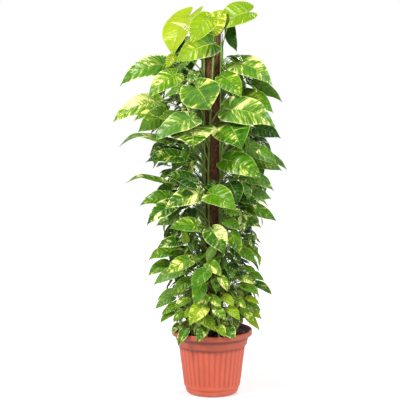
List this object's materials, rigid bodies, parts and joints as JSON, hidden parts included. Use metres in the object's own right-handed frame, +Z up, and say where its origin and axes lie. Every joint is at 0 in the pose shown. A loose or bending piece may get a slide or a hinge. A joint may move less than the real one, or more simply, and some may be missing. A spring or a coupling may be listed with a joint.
{
  "type": "golden pothos on a coir pole in a pot",
  "caption": "Climbing house plant with variegated heart-shaped leaves on a coir pole, in a round fluted plastic pot filled with soil.",
  "frame": {"origin": "middle of the flat that the pot rests on", "axes": "+Z up along the pole, -Y towards the front of the plant, +X to the right of someone who looks at the front"},
  "size_m": [0.639, 0.5046, 1.4514],
  "materials": {
    "pot_plastic": "satin",
    "soil": "matte",
    "coir": "matte",
    "stake_wood": "matte",
    "foliage": "satin"
  },
  "bodies": {
    "root": {"pot": "pot_plastic", "soil": "soil", "coir_pole": "coir", "pole_stake": "stake_wood", "vine_01": "foliage", "vine_02": "foliage", "vine_03": "foliage", "vine_04": "foliage", "vine_05": "foliage", "vine_06": "foliage", "vine_07": "foliage", "vine_08": "foliage", "vine_09": "foliage", "vine_10": "foliage", "vine_11": "foliage", "vine_12": "foliage", "shoot_01": "foliage", "shoot_02": "foliage", "shoot_03": "foliage", "shoot_04": "foliage", "shoot_05": "foliage", "shoot_06": "foliage", "shoot_07": "foliage", "shoot_08": "foliage", "shoot_09": "foliage", "shoot_10": "foliage", "shoot_11": "foliage", "shoot_12": "foliage"}
  },
  "joints": []
}
